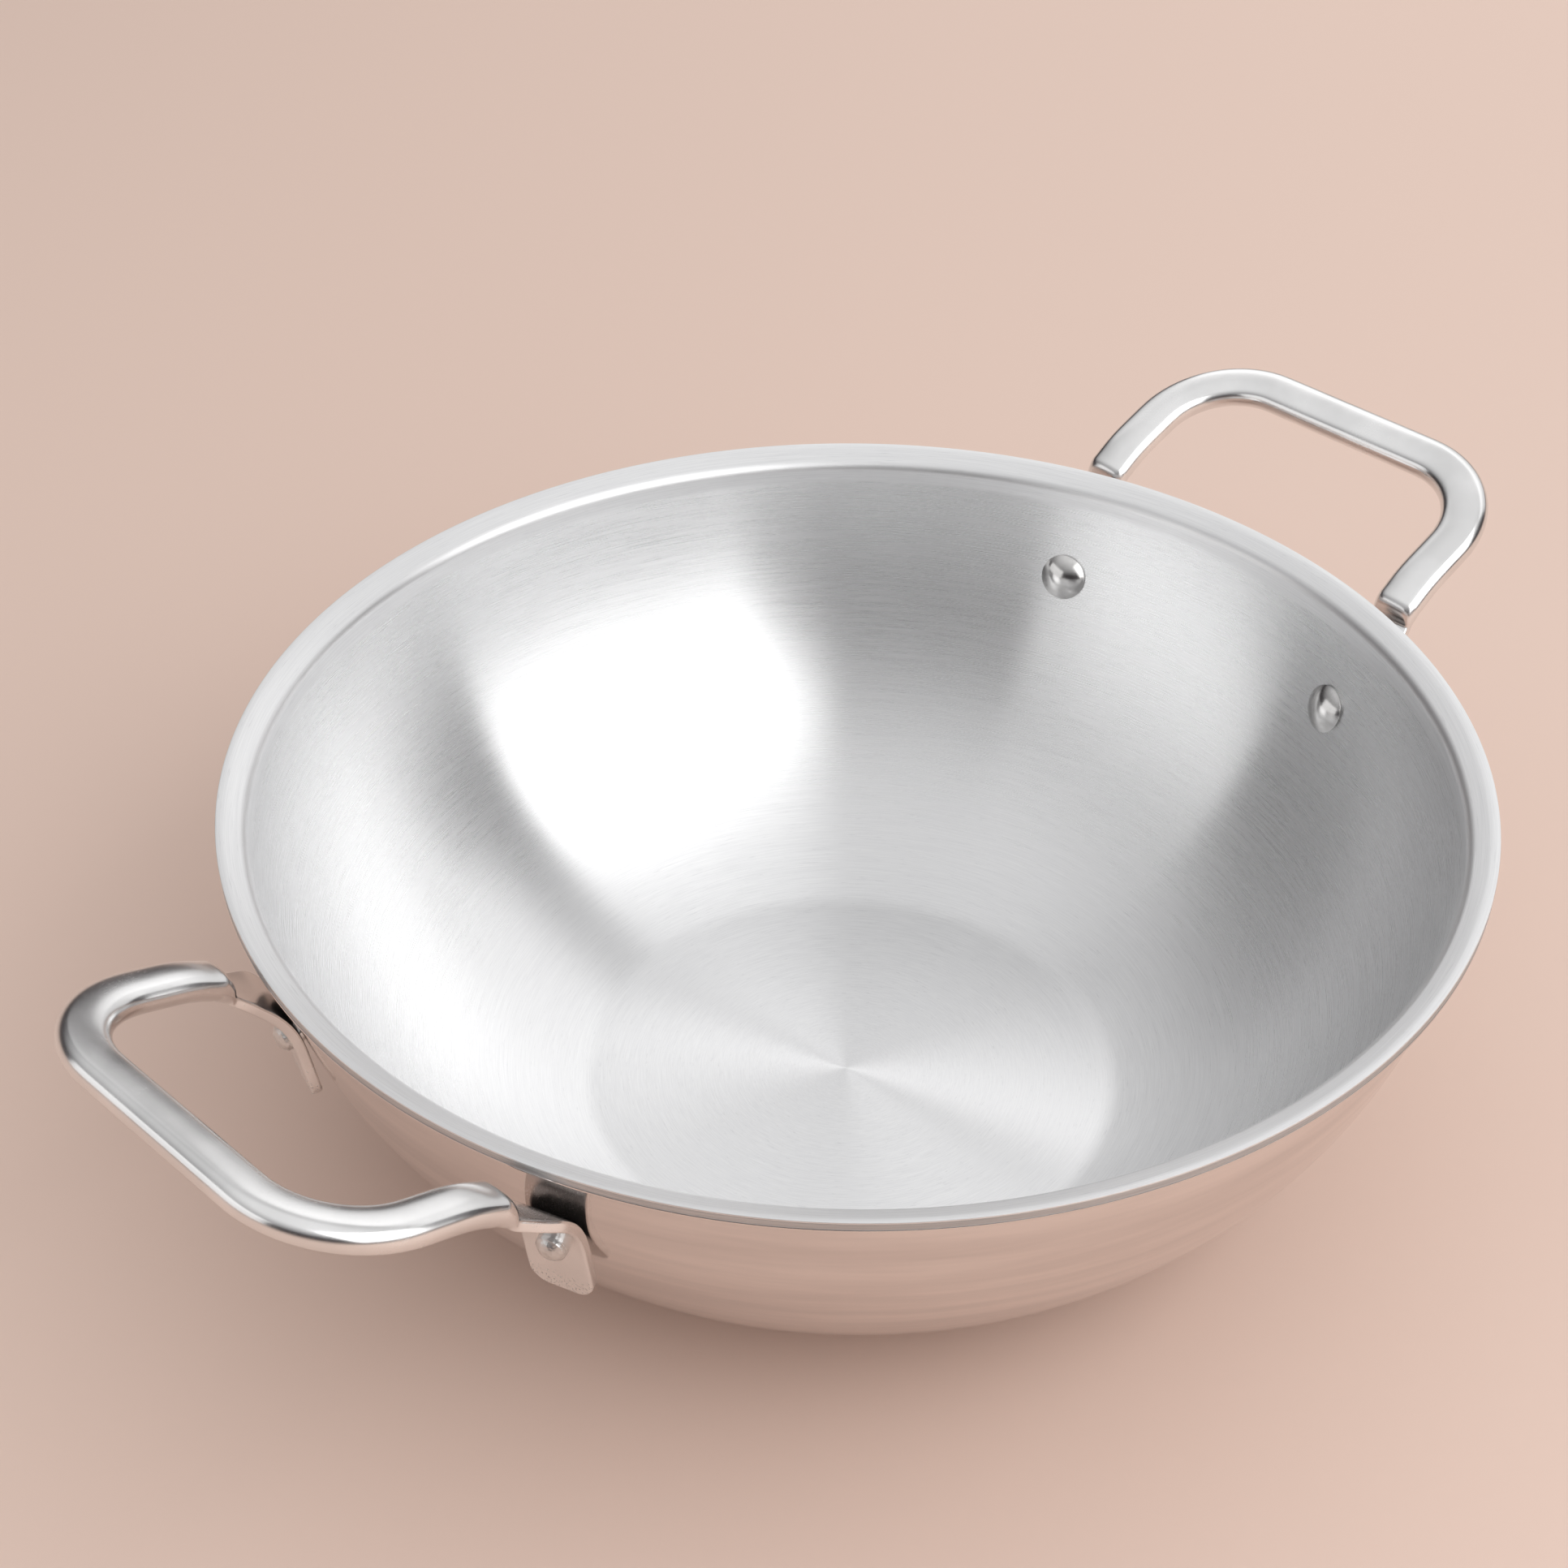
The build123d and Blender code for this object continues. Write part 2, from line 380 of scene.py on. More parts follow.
def addSection(place, width, thickness, rounding, crown=0):
    # a rounded rectangle whose wide sides rise to the middle by the crown
    ring = startPiece("section")
    bpy.ops.object.mode_set(mode="EDIT")
    bpy.ops.mesh.delete(type="ONLY_FACE")
    # the unit plane's two wide sides get a middle vertex each
    bpy.ops.mesh.select_mode(type="EDGE")
    pickEdges(ring, lambda start, end: abs(start.co.y - end.co.y) < 0.5)
    bpy.ops.mesh.subdivide(number_cuts=1)
    bpy.ops.mesh.select_mode(type="VERT")
    bpy.ops.mesh.select_all(action="SELECT")
    bpy.ops.mesh.edge_face_add()
    flatThickness = thickness - 2 * crown
    bpy.ops.transform.resize(value=(width, flatThickness, 1))
    pickSpots(ring, lambda spot: abs(spot.x) < section["crownMiddle"] * width)
    bpy.ops.transform.resize(value=(1, thickness / flatThickness, 1))
    spread = section["crownSpread"] * width
    bpy.ops.mesh.bevel(offset=spread, segments=section["roundSteps"], affect="VERTICES")
    pickSpots(ring, lambda spot: abs(spot.x) > section["cornerFrom"] * width)
    bpy.ops.mesh.bevel(offset=rounding, segments=section["roundSteps"], affect="VERTICES")
    bpy.ops.mesh.select_all(action="SELECT")
    bpy.ops.mesh.delete(type="ONLY_FACE")
    bpy.ops.object.mode_set(mode="OBJECT")
    applyPlace(ring, place)
    return ring


def facing(spot, along, up):
    # place whose z runs along the bar and whose y points to the side given as up
    along = along.normalized()
    side = up.cross(along).normalized()
    turned = Matrix((side, along.cross(side), along)).transposed().to_4x4()
    return Matrix.Translation(spot) @ turned


def slopeWays(angle):
    # the way along a slope, away from the pan, and the side that is up
    return Vector((cos(angle), 0, sin(angle))), Vector((-sin(angle), 0, cos(angle)))


def earSections():
    # from the ear's lower end up through its bend; its back becomes the bar's upper side
    place = Matrix.Rotation(radians(rivet["azimuth"]), 4, "Z")
    place @= leanPlace(radians(ear["lean"]), ear["gap"])
    turned = place.to_3x3()
    thickness, rounding = ear["thickness"], ear["rounding"]
    half = thickness / 2
    straight = ear["width"] - 2 * ear["corner"]
    # two thinner rows round the lower edge off
    rows = [
        (-ear["below"], straight - rounding, thickness - 1.3 * rounding),
        (0.25 * rounding - ear["below"], straight + ear["tipWiden"], thickness - 0.4 * rounding),
    ]
    for share in (0.3, 0.5, 0.7, 0.85, 1):
        turn = share * pi / 2
        rise = ear["corner"] * (1 - cos(turn))
        rows.append((rise - ear["below"], straight + 2 * ear["corner"] * sin(turn), thickness))
    for height in (*ear["flatRows"], ear["above"]):
        rows.append((height, ear["width"], thickness))
    along = turned @ Vector((0, 1, 0))
    back = turned @ Vector((0, 0, -1))
    sections = []
    for height, width, rowThickness in rows:
        spot = place @ Vector((0, height, half))
        sections.append((facing(spot, along, back), width, rowThickness, rounding))
    middle = ear["bend"] + half
    bendTurn = radians(90 - ear["lean"] - (handle["slope"] + handle["rootTurn"]))
    for share in (0.2, 0.4, 0.6, 0.8, 1):
        turn = bendTurn * share
        height = ear["above"] + middle * sin(turn)
        spot = place @ Vector((0, height, half + middle * (1 - cos(turn))))
        along = turned @ Vector((0, cos(turn), sin(turn)))
        back = turned @ Vector((0, sin(turn), -cos(turn)))
        sections.append((facing(spot, along, back), ear["width"], thickness, rounding))
    return sections


def neckSections(bendEnd, neckEnd):
    # the neck twists square to the bar and narrows
    fromTurn, toTurn = bendEnd.to_quaternion(), neckEnd.to_quaternion()
    sections = []
    for share in (0.2, 0.4, 0.6, 0.8, 0.95):
        spot = bendEnd.translation.lerp(neckEnd.translation, share)
        turned = fromTurn.slerp(toTurn, share).to_matrix().to_4x4()
        width = ear["width"] + (handle["neckWidth"] - ear["width"]) * share
        place = Matrix.Translation(spot) @ turned
        sections.append((place, width, ear["thickness"], ear["rounding"]))
    return sections


def endSections(start, root, rootUp):
    low = -handle["neckDrop"] - ear["thickness"] / 2
    neckTop, barHalf = low + ear["thickness"], handle["barThickness"] / 2
    sections = []
    for step in range(barEnd["steps"]):
        share = step / (barEnd["steps"] - 1)
        swell = barEnd["tipPace"] * share
        if share > barEnd["tipShare"]:
            swell = (1 - (1 - share) ** barEnd["fullness"]) ** barEnd["easing"]
        top = neckTop + (barHalf - neckTop) * swell
        bottom = low + (-barHalf - low) * min(1, barEnd["underPace"] * share)
        width = handle["neckWidth"] + (handle["barWidth"] - handle["neckWidth"]) * swell
        crown = handle["barCrown"] * swell
        rounding = min(
            barEnd["roundingLow"] + barEnd["roundingGain"] * swell,
            (top - bottom - 2 * crown) / barEnd["roundingLimit"],
            handle["barRounding"],
        )
        spot = start + root * (barEnd["length"] * share) + rootUp * (top + bottom) / 2
        sections.append((facing(spot, root, rootUp), width, top - bottom, rounding, crown))
    return sections


def barLine():
    # centre line of half a bar: points with their directions and the side that is up
    slope = radians(handle["slope"])
    steep = radians(handle["slope"] + handle["rootTurn"])
    out, up = slopeWays(slope)
    root, rootUp = slopeWays(steep)
    gripHeight = pan["height"] + handle["gripRise"]
    corner = Vector((handle["gripReach"], handle["legSpacing"] / 2, gripHeight))
    knee = corner - out * handle["legLength"]
    start = knee - root * handle["rootLength"]
    # root bend, seen from the side
    reach = handle["rootBend"] * tan(radians(handle["rootTurn"]) / 2)
    bendCentre = knee - root * reach - rootUp * handle["rootBend"]
    rows = []
    for share in (0, 0.17, 0.33, 0.5, 0.67, 0.83, 1):
        along, side = slopeWays(steep + (slope - steep) * share)
        rows.append((bendCentre + side * handle["rootBend"], along, side))
    # leg
    bendEnd = rows[-1][0]
    legEnd = corner - out * handle["cornerRadius"]
    for share in (0.33, 0.67):
        rows.append((bendEnd.lerp(legEnd, share), out, up))
    # corner, seen from above
    cornerCentre = legEnd - Vector((0, handle["cornerRadius"], 0))
    for step in range(handle["cornerSteps"] + 1):
        turn = pi / 2 * step / handle["cornerSteps"]
        spot = cornerCentre + out * handle["cornerRadius"] * sin(turn)
        spot += Vector((0, handle["cornerRadius"] * cos(turn), 0))
        rows.append((spot, out * cos(turn) + Vector((0, -sin(turn), 0)), up))
    # grip, as far as its middle
    gripStart = rows[-1][0]
    for share in (0.25, 0.5, 0.75, 1):
        spot = gripStart.copy()
        spot.y *= 1 - share
        rows.append((spot, Vector((0, -1, 0)), up))
    return start, root, rootUp, rows


def barSections(start, root, rows):
    # the rows that the rounded end already covers are left out
    covered = barEnd["length"] + barEnd["rowGap"]
    shape = (handle["barWidth"], handle["barThickness"], handle["barRounding"], handle["barCrown"])
    return [
        (facing(spot, along, up), *shape)
        for spot, along, up in rows
        if (spot - start).dot(root) >= covered
    ]


def pickRings(piece, perRing, wanted):
    def inRings(start, end):
        return start.index // perRing == end.index // perRing and start.index // perRing in wanted

    bpy.ops.mesh.select_all(action="DESELECT")
    pickEdges(piece, inRings)


def bridgeSections(sections):
    rings = [addSection(*facts) for facts in sections]
    perRing = len(rings[0].data.vertices)
    pickOnly(*rings)
    bpy.ops.object.join()
    piece = rings[0]
    bpy.ops.object.mode_set(mode="EDIT")
    bpy.ops.mesh.select_mode(type="EDGE")
    for first in range(len(sections) - 1):
        pickRings(piece, perRing, (first, first + 1))
        bpy.ops.mesh.bridge_edge_loops()
    # close the ear's lower end; the other end stays open for the mirrored half
    pickRings(piece, perRing, (0,))
    bpy.ops.mesh.edge_face_add()
    bpy.ops.object.mode_set(mode="OBJECT")
    return piece


def makeHandle(name):
    start, root, rootUp, rows = barLine()
    neckEnd = facing(start - rootUp * handle["neckDrop"], root, rootUp)
    sections = earSections()
    sections += neckSections(sections[-1][0], neckEnd)
    sections += endSections(start, root, rootUp) + barSections(start, root, rows)
    piece = bridgeSections(sections)
    piece.name = piece.data.name = name
    mirrorHalf = piece.modifiers.new("otherHalf", "MIRROR")
    mirrorHalf.use_axis = (False, True, False)
    mirrorHalf.merge_threshold = 0.01 * mm
    bpy.ops.object.modifier_apply(modifier=mirrorHalf.name)
    rounder = piece.modifiers.new("rounder", "SUBSURF")
    rounder.levels = rounder.render_levels = 1
    bpy.ops.object.modifier_apply(modifier=rounder.name)
    closeUp(piece, handle["smoothAngle"])
    return piece


handleRight = makeHandle("barRight")
handleLeft = copyPiece(handleRight, "barLeft", Matrix.Rotation(pi, 4, "Z"))
for piece, node in ((handleRight, "handle_right"), (handleLeft, "handle_left")):
    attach(piece, "root")
    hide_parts(node)
print("kadai: handles bridged")


# helpers for the nodes of groups, materials and world
def addNode(tree, kind, spot, **settings):
    node = tree.nodes.new(kind)
    node.location = spot
    for name, value in settings.items():
        setattr(node, name, value)
    return node


def feed(tree, socket, value):
    # another node's output is linked, a plain value is set
    if hasattr(value, "is_output"):
        tree.links.new(value, socket)
    else:
        socket.default_value = value


def mathNode(tree, operation, spot, *values):
    node = addNode(tree, "ShaderNodeMath", spot, operation=operation)
    for socket, value in zip(node.inputs, values):
        feed(tree, socket, value)
    return node.outputs[0]


def splitAxes(tree, spot, position):
    node = addNode(tree, "ShaderNodeSeparateXYZ", spot)
    tree.links.new(position, node.inputs[0])
    return node.outputs


def noiseFrom(tree, spot, position, scale, detail, roughness=0.5):
    node = addNode(tree, "ShaderNodeTexNoise", spot)
    tree.links.new(position, node.inputs["Vector"])
    for label, value in (("Scale", scale), ("Detail", detail), ("Roughness", roughness)):
        feed(tree, node.inputs[label], value)
    return node.outputs["Fac"]


def mapValue(tree, spot, value, toSpan, fromSpan=(0.25, 0.75)):
    # the usual fromSpan is what a noise mostly fills
    node = addNode(tree, "ShaderNodeMapRange", spot)
    tree.links.new(value, node.inputs["Value"])
    node.inputs["From Min"].default_value, node.inputs["From Max"].default_value = fromSpan
    node.inputs["To Min"].default_value, node.inputs["To Max"].default_value = toSpan
    return node.outputs["Result"]


def mixColours(tree, spot, mask, first, second):
    node = addNode(tree, "ShaderNodeMix", spot, data_type="RGBA")
    tree.links.new(mask, node.inputs["Factor"])
    # a colour mix has its two colours in sockets 6 and 7, and its result in 2
    for socket, value in zip(node.inputs[6:8], (first, second)):
        feed(tree, socket, value if hasattr(value, "is_output") else (*value, 1))
    return node.outputs[2]


def bumpFrom(tree, spot, height, push, after=None):
    # push is strength and distance
    node = addNode(tree, "ShaderNodeBump", spot)
    node.inputs["Strength"].default_value, node.inputs["Distance"].default_value = push
    tree.links.new(height, node.inputs["Height"])
    if after:
        tree.links.new(after, node.inputs["Normal"])
    return node.outputs[0]


def newGroup(name, settings, outputs):
    # a group reads the position and its settings, and puts out numbers
    tree = bpy.data.node_groups.new(name, "ShaderNodeTree")
    number = "NodeSocketFloat"
    tree.interface.new_socket(name="Position", in_out="INPUT", socket_type="NodeSocketVector")
    for label, value in settings.items():
        socket = tree.interface.new_socket(name=label, in_out="INPUT", socket_type=number)
        socket.default_value = value
    for label in outputs:
        tree.interface.new_socket(name=label, in_out="OUTPUT", socket_type=number)
    given = addNode(tree, "NodeGroupInput", (-900, 0))
    return tree, given.outputs, addNode(tree, "NodeGroupOutput", (900, 0)).inputs


# lines and wider bands that run round the pan's axis, as a turning pad leaves them
# more Breaks make shorter lines, more Fineness closer ones; the shares are of these two
turning = {
    "usual": {"Breaks": 3.0, "Fineness": 2500.0},
    "lineShares": (1, 1),
    "bandShares": (0.4085, 0.09),
    "detail": 3,
    "roughness": 0.6,
}


def makeTurnedLines():
    tree, given, result = newGroup("turnedLines", turning["usual"], ("Lines", "Bands"))
    x, y, z = splitAxes(tree, (-700, 0), given["Position"])
    squareX = mathNode(tree, "MULTIPLY", (-560, 120), x, x)
    squares = mathNode(tree, "MULTIPLY_ADD", (-420, 100), y, y, squareX)
    radius = mathNode(tree, "SQRT", (-280, 100), squares)
    turnX = mathNode(tree, "DIVIDE", (-140, 200), x, radius)
    turnY = mathNode(tree, "DIVIDE", (-140, 60), y, radius)
    path = mathNode(tree, "ADD", (-140, -80), radius, z)
    for label, shares, row in (
        ("Lines", turning["lineShares"], 200),
        ("Bands", turning["bandShares"], -200),
    ):
        breaks = mathNode(tree, "MULTIPLY", (0, row - 40), given["Breaks"], shares[0])
        fine = mathNode(tree, "MULTIPLY", (0, row - 120), given["Fineness"], shares[1])
        place = addNode(tree, "ShaderNodeCombineXYZ", (240, row))
        ways = ((turnX, breaks, 60), (turnY, breaks, 0), (path, fine, -60))
        for socket, (way, factor, lift) in zip(place.inputs, ways):
            feed(tree, socket, mathNode(tree, "MULTIPLY", (120, row + lift), way, factor))
        noise = noiseFrom(
            tree, (420, row), place.outputs[0], 1, turning["detail"], turning["roughness"]
        )
        tree.links.new(noise, result[label])
    return tree


# faint rubbed clouds, and short scratches that run two ways
handling = {
    "usual": {"Cloud Size": 90.0, "Scratch Size": 260.0},
    "cloudDetail": 4,
    "scratchTurns": ((0.3, 0.9, 0.2), (1.1, -0.5, 0.8)),
    "scratchStretch": (1, 14, 14),
    "scratchDetail": 2,
    "scratchSpan": (0.6, 0.72),
}


def makeHandledWear():
    tree, given, result = newGroup("handledWear", handling["usual"], ("Clouds", "Scratches"))
    clouds = noiseFrom(
        tree, (-400, 200), given["Position"], given["Cloud Size"], handling["cloudDetail"]
    )
    tree.links.new(clouds, result["Clouds"])
    layers = []
    for turn, row in zip(handling["scratchTurns"], (0, -300)):
        place = addNode(tree, "ShaderNodeMapping", (-600, row))
        place.inputs["Rotation"].default_value = turn
        place.inputs["Scale"].default_value = handling["scratchStretch"]
        tree.links.new(given["Position"], place.inputs["Vector"])
        streak = noiseFrom(
            tree, (-400, row), place.outputs[0], given["Scratch Size"], handling["scratchDetail"]
        )
        layers.append(mapValue(tree, (-200, row), streak, (0, 1), handling["scratchSpan"]))
    tree.links.new(mathNode(tree, "MAXIMUM", (100, -150), *layers), result["Scratches"])
    return tree


turnedLines = makeTurnedLines()
handledWear = makeHandledWear()
quarterTurn = 0.25


def newMetal(name, look):
    material = bpy.data.materials.new(name)
    material.use_nodes = True
    tree = material.node_tree
    shader = tree.nodes["Principled BSDF"]
    shader.inputs["Metallic"].default_value = 1
    shader.inputs["Anisotropic"].default_value = look.get("anisotropic", 0)
    place = addNode(tree, "ShaderNodeTexCoord", (-1400, 0))
    return material, tree, shader, place.outputs["Object"]


def brushRound(tree, shader):
    # the gloss spreads across lines that run round the pan's axis
    shader.inputs["Anisotropic Rotation"].default_value = quarterTurn
    tangent = addNode(tree, "ShaderNodeTangent", (-300, -500), direction_type="RADIAL", axis="Z")
    tree.links.new(tangent.outputs[0], shader.inputs["Tangent"])


def placeGroup(tree, group, spot, position, values):
    node = addNode(tree, "ShaderNodeGroup", spot, node_tree=group)
    tree.links.new(position, node.inputs["Position"])
    for label, value in values.items():
        node.inputs[label].default_value = value
    return node.outputs


def twoTones(tree, value, look, fromSpan=(0.25, 0.75)):
    mask = mapValue(tree, (-650, 300), value, (0, 1), fromSpan)
    return mixColours(tree, (-400, 300), mask, look["dark"], look["light"])


satin = {
    "light": (0.88, 0.88, 0.88),
    "dark": (0.77, 0.77, 0.775),
    "toneSpan": (0.3, 0.7),
    "lines": {"Breaks": 7.0, "Fineness": 4200.0},
    "lineShare": 0.85,
    "cuts": {"Breaks": 16.0, "Fineness": 2400.0},
    "cutColour": (0.60, 0.60, 0.61),
    "cutStrength": 0.4,
    "cutSpan": (0.62, 0.72),
    "rough": (0.25, 0.31),
    "baseExtra": 0.03,
    "baseFade": (2 * mm, 20 * mm),
    "anisotropic": 0.97,
    "lipRough": 0.4,
    "lipAnisotropic": 0.5,
    "padEnd": 79.5 * mm,
    "padFade": 1 * mm,
    "bump": (0.1, 0.01 * mm),
}


def makeSatin():
    material, tree, shader, position = newMetal("brushedInside", satin)
    brushRound(tree, shader)
    lines = placeGroup(tree, turnedLines, (-1100, 200), position, satin["lines"])
    lineShare = satin["lineShare"]
    bandPart = mathNode(tree, "MULTIPLY", (-950, 100), lines["Bands"], 1 - lineShare)
    mixed = mathNode(tree, "MULTIPLY_ADD", (-850, 200), lines["Lines"], lineShare, bandPart)
    colour = twoTones(tree, mixed, satin, satin["toneSpan"])
    # shorter dark scratches in the same direction
    cuts = placeGroup(tree, turnedLines, (-1100, 500), position, satin["cuts"])
    dark = mapValue(tree, (-650, 500), cuts["Lines"], (0, satin["cutStrength"]), satin["cutSpan"])
    colour = mixColours(tree, (-200, 300), dark, colour, satin["cutColour"])
    tree.links.new(colour, shader.inputs["Base Color"])
    # the base is a little rougher than the wall, and that fades out up the wall
    height = splitAxes(tree, (-1100, -200), position)[2]
    rough = mapValue(tree, (-650, 0), mixed, satin["rough"])
    extra = mapValue(tree, (-850, -50), height, (satin["baseExtra"], 0), satin["baseFade"])
    rough = mathNode(tree, "ADD", (-450, 50), rough, extra)
    # the lip is matt, so the brushing fades out below it
    padSpan = (satin["padEnd"], satin["padEnd"] + satin["padFade"])
    lip = mapValue(tree, (-650, -350), height, (0, 1), padSpan)
    wall = mathNode(tree, "SUBTRACT", (-450, -100), 1, lip)
    lipPart = mathNode(tree, "MULTIPLY", (-450, -250), lip, satin["lipRough"])
    rough = mathNode(tree, "MULTIPLY_ADD", (-250, 0), rough, wall, lipPart)
    tree.links.new(rough, shader.inputs["Roughness"])
    spread = (satin["anisotropic"], satin["lipAnisotropic"])
    spread = mapValue(tree, (-250, -150), lip, spread, (0, 1))
    tree.links.new(spread, shader.inputs["Anisotropic"])
    bump = bumpFrom(tree, (-200, -250), lines["Lines"], satin["bump"])
    tree.links.new(bump, shader.inputs["Normal"])
    return material


mirror = {
    "light": (0.80, 0.75, 0.725),
    "dark": (0.68, 0.63, 0.61),
    "toneSpan": (0.35, 0.65),
    "lines": {"Breaks": 4.0, "Fineness": 1500.0},
    "rough": (0.06, 0.16),
    "anisotropic": 0.5,
    "bump": (0.06, 0.01 * mm),
}


def makeMirror():
    material, tree, shader, position = newMetal("polishedOutside", mirror)
    brushRound(tree, shader)
    lines = placeGroup(tree, turnedLines, (-1100, 200), position, mirror["lines"])
    colour = twoTones(tree, lines["Bands"], mirror, mirror["toneSpan"])
    tree.links.new(colour, shader.inputs["Base Color"])
    rough = mapValue(tree, (-650, 0), lines["Lines"], mirror["rough"])
    tree.links.new(rough, shader.inputs["Roughness"])
    bump = bumpFrom(tree, (-200, -250), lines["Lines"], mirror["bump"])
    tree.links.new(bump, shader.inputs["Normal"])
    return material


coreMetal = {
    "light": (0.62, 0.63, 0.64),
    "dark": (0.45, 0.46, 0.47),
    "lines": {"Breaks": 8.0, "Fineness": 5000.0},
    "rough": (0.4, 0.55),
}


def makeCoreMetal():
    material, tree, shader, position = newMetal("aluminiumCore", coreMetal)
    lines = placeGroup(tree, turnedLines, (-1100, 200), position, coreMetal["lines"])
    tree.links.new(twoTones(tree, lines["Lines"], coreMetal), shader.inputs["Base Color"])
    rough = mapValue(tree, (-650, 0), lines["Bands"], coreMetal["rough"])
    tree.links.new(rough, shader.inputs["Roughness"])
    return material


barMetal = {
    "light": (0.90, 0.895, 0.89),
    "dark": (0.80, 0.795, 0.79),
    "toneSpan": (0.35, 0.65),
    "wear": {"Cloud Size": 60.0, "Scratch Size": 260.0},
    "rough": (0.18, 0.27),
    "scratchRough": 0.04,
    "waveScale": 45.0,
    "waveDetail": 1,
    "waveBump": (0.3, 0.5 * mm),
    "pitFade": (50 * mm, 54 * mm),
    "pitScale": 2600,
    "pitDetail": 2,
    "pitSpan": (0.6, 0.68),
    "pitColour": (0.3, 0.29, 0.285),
    "pitRough": 0.3,
    "pitBump": (0.4, 0.05 * mm),
}


def makeBarMetal():
    material, tree, shader, position = newMetal("polishedBar", barMetal)
    wear = placeGroup(tree, handledWear, (-1100, 200), position, barMetal["wear"])
    colour = twoTones(tree, wear["Clouds"], barMetal, barMetal["toneSpan"])
    # pits near the lower end of the ears
    height = splitAxes(tree, (-1100, -200), position)[2]
    low = mapValue(tree, (-900, -200), height, (1, 0), barMetal["pitFade"])
    speckle = noiseFrom(
        tree, (-1100, -400), position, barMetal["pitScale"], barMetal["pitDetail"]
    )
    speckle = mapValue(tree, (-900, -400), speckle, (0, 1), barMetal["pitSpan"])
    pits = mathNode(tree, "MULTIPLY", (-700, -300), speckle, low)
    colour = mixColours(tree, (-200, 300), pits, colour, barMetal["pitColour"])
    tree.links.new(colour, shader.inputs["Base Color"])
    rough = mapValue(tree, (-650, 0), wear["Clouds"], barMetal["rough"])
    for mask, share, column in (
        (wear["Scratches"], barMetal["scratchRough"], -400),
        (pits, barMetal["pitRough"], -250),
    ):
        rough = mathNode(tree, "MULTIPLY_ADD", (column, 0), mask, share, rough)
    tree.links.new(rough, shader.inputs["Roughness"])
    waves = noiseFrom(tree, (-700, -600), position, barMetal["waveScale"], barMetal["waveDetail"])
    soft = bumpFrom(tree, (-450, -600), waves, barMetal["waveBump"])
    pitted = bumpFrom(tree, (-250, -500), pits, barMetal["pitBump"], soft)
    tree.links.new(pitted, shader.inputs["Normal"])
    return material


rivetMetal = {
    "light": (0.74, 0.73, 0.72),
    "dark": (0.62, 0.61, 0.60),
    "wear": {"Cloud Size": 400.0, "Scratch Size": 500.0},
    "headRough": (0.14, 0.22),
    "tailRough": 0.16,
    "tailFade": (1.5 * mm, 2.2 * mm),
    "dentScale": 700,
    "dentDetail": 3,
    "dentBump": (0.7, 0.5 * mm),
}


def makeRivetMetal():
    material, tree, shader, position = newMetal("rivetMetal", rivetMetal)
    wear = placeGroup(tree, handledWear, (-1100, 200), position, rivetMetal["wear"])
    tree.links.new(twoTones(tree, wear["Clouds"], rivetMetal), shader.inputs["Base Color"])
    # the peened tails lie outside the wall, further from the pan's axis than the heads
    flat = addNode(tree, "ShaderNodeVectorMath", (-1100, -200), operation="MULTIPLY")
    tree.links.new(position, flat.inputs[0])
    flat.inputs[1].default_value = (1, 1, 0)
    distance = addNode(tree, "ShaderNodeVectorMath", (-950, -200), operation="LENGTH")
    tree.links.new(flat.outputs[0], distance.inputs[0])
    tailSpan = [rivetReach + fade for fade in rivetMetal["tailFade"]]
    tail = mapValue(tree, (-800, -200), distance.outputs["Value"], (0, 1), tailSpan)
    rough = mapValue(tree, (-650, 0), wear["Clouds"], rivetMetal["headRough"])
    rough = mathNode(tree, "MULTIPLY_ADD", (-450, 0), tail, rivetMetal["tailRough"], rough)
    tree.links.new(rough, shader.inputs["Roughness"])
    dents = noiseFrom(
        tree, (-800, -500), position, rivetMetal["dentScale"], rivetMetal["dentDetail"]
    )
    dents = mathNode(tree, "MULTIPLY", (-600, -450), dents, tail)
    bump = bumpFrom(tree, (-350, -400), dents, rivetMetal["dentBump"])
    tree.links.new(bump, shader.inputs["Normal"])
    return material


def dress(material, *pieces):
    for piece in pieces:
        piece.data.materials.clear()
        piece.data.materials.append(material)


dress(makeSatin(), innerSkin)
dress(makeCoreMetal(), coreSheet)
dress(makeMirror(), outerSkin)
dress(makeBarMetal(), handleRight, handleLeft)
dress(makeRivetMetal(), *rivetPieces)
print("kadai: finishes made")


# floor, light and camera, in metres and degrees; the camera is fitted to the photo
stage = {
    "floorSize": 60,
    "floorColour": (0.80, 0.61, 0.52),
    "floorRough": 0.7,
    "floorSpecular": 0.2,
    "horizon": (0.42, 0.33, 0.29),
    "horizonSpan": (0.04, 0.08),
    "worldLow": (0.04, 0.034, 0.037),
    "worldHigh": (0.86, 0.86, 0.865),
    "worldSpan": (0.32, 0.9),
    "camera": (-0.34757, -0.33202, 0.44550),
    "cameraTurn": (53.29981, 1.64614, -42.88279),
    "sensor": 36,
    "lens": 66.8388,
    "shift": (0.079242, -0.013098),
    "clipStart": 0.01,
    "lampDistance": 1.25,
}
lamps = {
    "keyBox": {"azimuth": -82, "elevation": 39, "size": (1.55, 1.15), "radiance": 1.75},
    "sideBox": {"azimuth": 13, "elevation": 29, "size": (1.5, 0.85), "radiance": 0.72},
    "fillBox": {"azimuth": 156, "elevation": 20, "size": (1.25, 0.6), "radiance": 0.92},
    "farBox": {"azimuth": 50, "elevation": 36, "size": (0.9, 0.6), "radiance": 0.26},
}


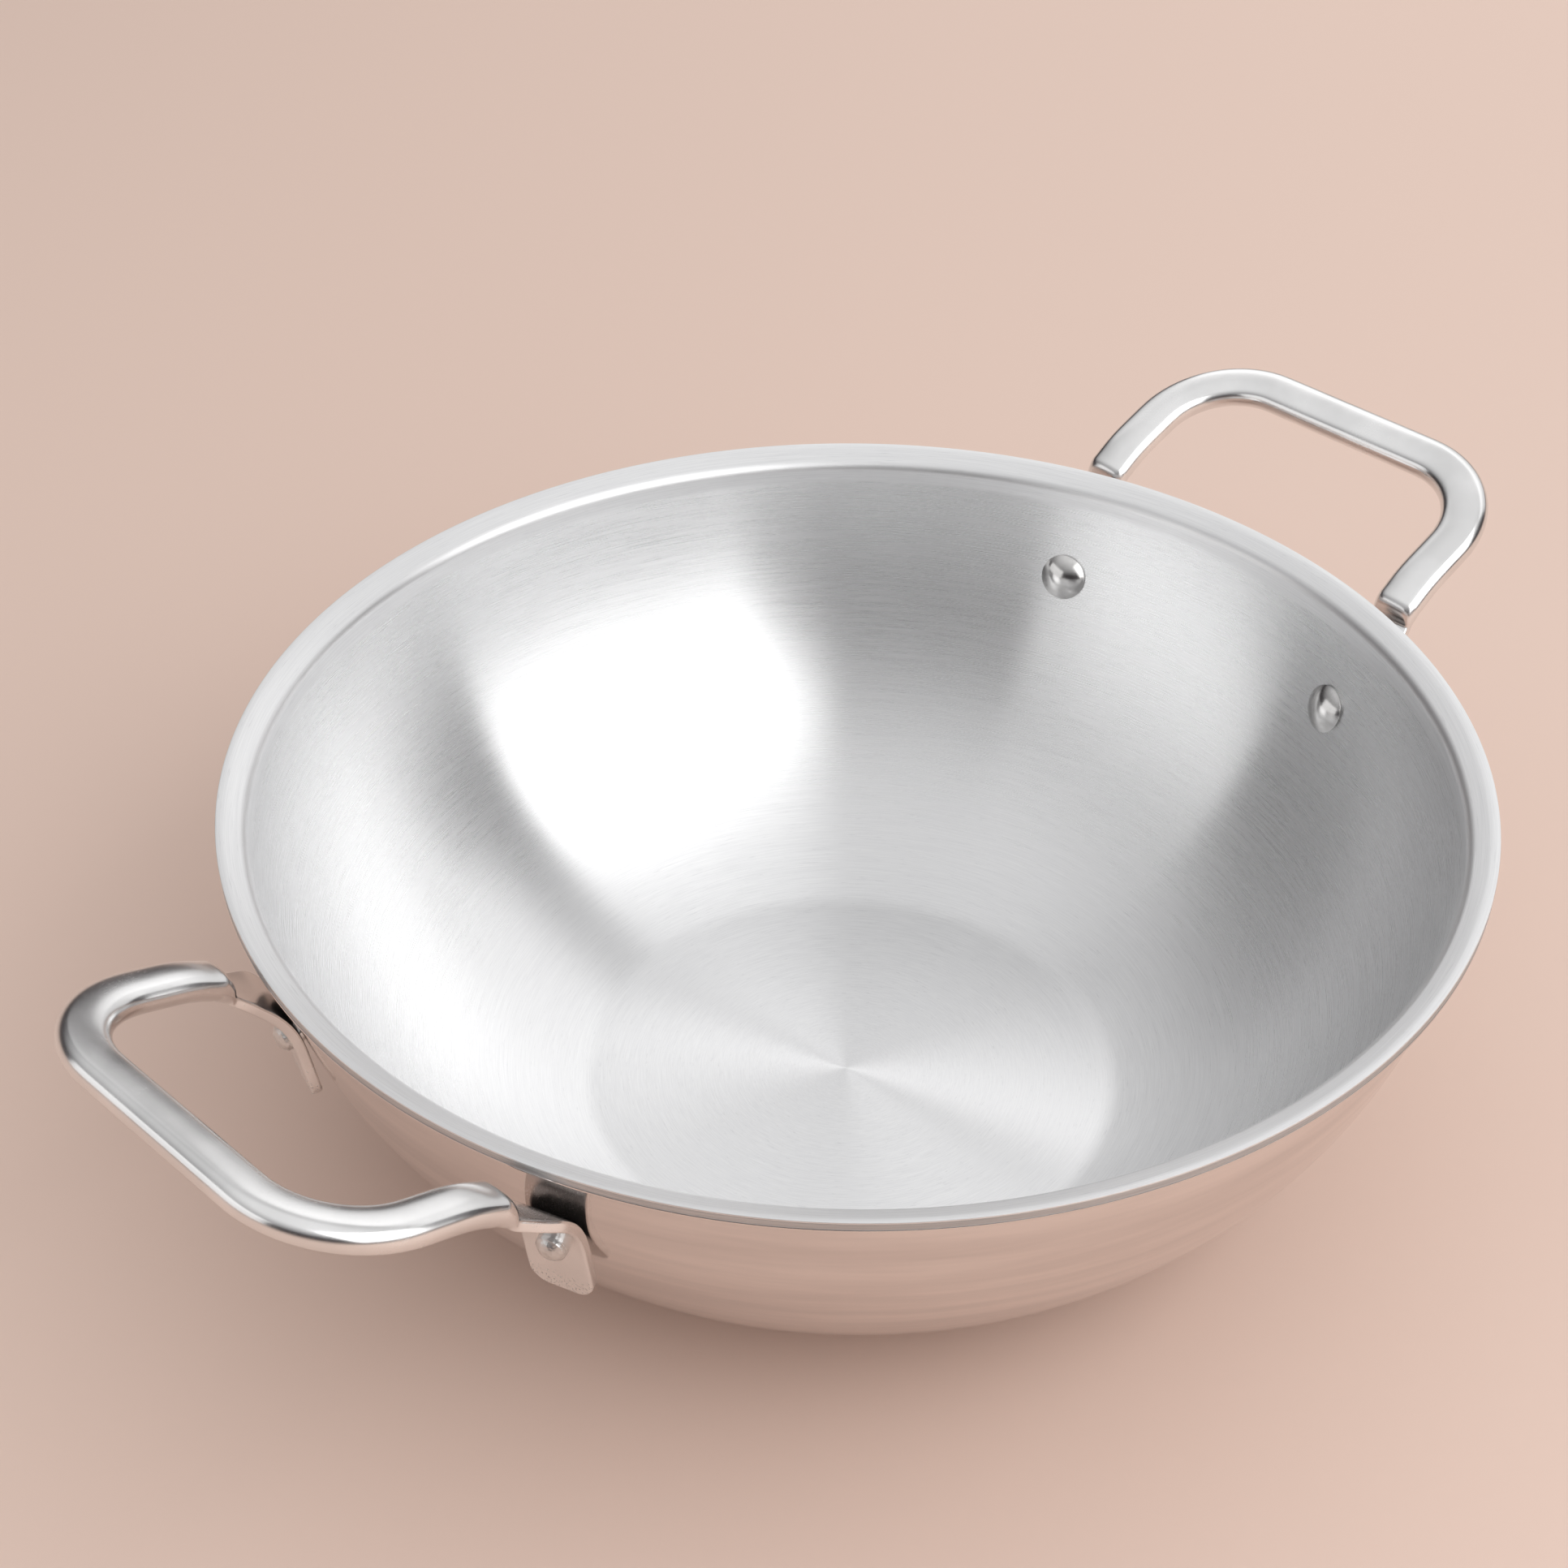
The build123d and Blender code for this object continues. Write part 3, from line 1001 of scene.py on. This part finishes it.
def makeFloor():
    floor = startPiece("studioFloor")
    bpy.ops.transform.resize(value=(stage["floorSize"], stage["floorSize"], 1))
    bpy.ops.object.transform_apply(location=True, rotation=True, scale=True)
    material = bpy.data.materials.new("paleFloor")
    material.use_nodes = True
    shader = material.node_tree.nodes["Principled BSDF"]
    shader.inputs["Base Color"].default_value = (*stage["floorColour"], 1)
    shader.inputs["Roughness"].default_value = stage["floorRough"]
    shader.inputs["Specular IOR Level"].default_value = stage["floorSpecular"]
    dress(material, floor)


def makeWorld():
    # dark low down and pale overhead
    world = bpy.data.worlds.new("softRoom")
    bpy.context.scene.world = world
    world.use_nodes = True
    tree = world.node_tree
    place = addNode(tree, "ShaderNodeTexCoord", (-900, 0))
    height = splitAxes(tree, (-700, 0), place.outputs["Generated"])[2]
    rise = mapValue(tree, (-500, 0), height, (0, 1), stage["worldSpan"])
    colour = mixColours(tree, (-300, 0), rise, stage["worldLow"], stage["worldHigh"])
    # at and under the horizon the sky takes on a dim floor colour
    band = mapValue(tree, (-500, -200), height, (0, 1), stage["horizonSpan"])
    colour = mixColours(tree, (-150, 0), band, stage["horizon"], colour)
    tree.links.new(colour, tree.nodes["Background"].inputs["Color"])


def makeLamp(name, facts):
    # the power comes from the radiance, so a larger box is no dimmer
    data = bpy.data.lights.new(name, "AREA")
    data.shape = "RECTANGLE"
    data.size, data.size_y = facts["size"]
    data.energy = facts["radiance"] * pi * data.size * data.size_y
    lamp = bpy.data.objects.new(name, data)
    bpy.context.collection.objects.link(lamp)
    turn, rise = radians(facts["azimuth"]), radians(facts["elevation"])
    way = Vector((cos(turn) * cos(rise), sin(turn) * cos(rise), sin(rise)))
    lamp.location = way * stage["lampDistance"]
    lamp.rotation_euler = lamp.location.to_track_quat("Z", "Y").to_euler()
    lamp.visible_camera = False


def makeCamera():
    data = bpy.data.cameras.new("photoCamera")
    data.sensor_width = stage["sensor"]
    data.lens = stage["lens"]
    data.shift_x, data.shift_y = stage["shift"]
    data.clip_start = stage["clipStart"]
    camera = bpy.data.objects.new("photoCamera", data)
    bpy.context.collection.objects.link(camera)
    camera.location = stage["camera"]
    camera.rotation_euler = [radians(turn) for turn in stage["cameraTurn"]]
    bpy.context.scene.camera = camera


makeFloor()
makeWorld()
for name, facts in lamps.items():
    makeLamp(name, facts)
makeCamera()
bpy.context.scene.view_settings.view_transform = "Standard"
print("kadai: stage set")
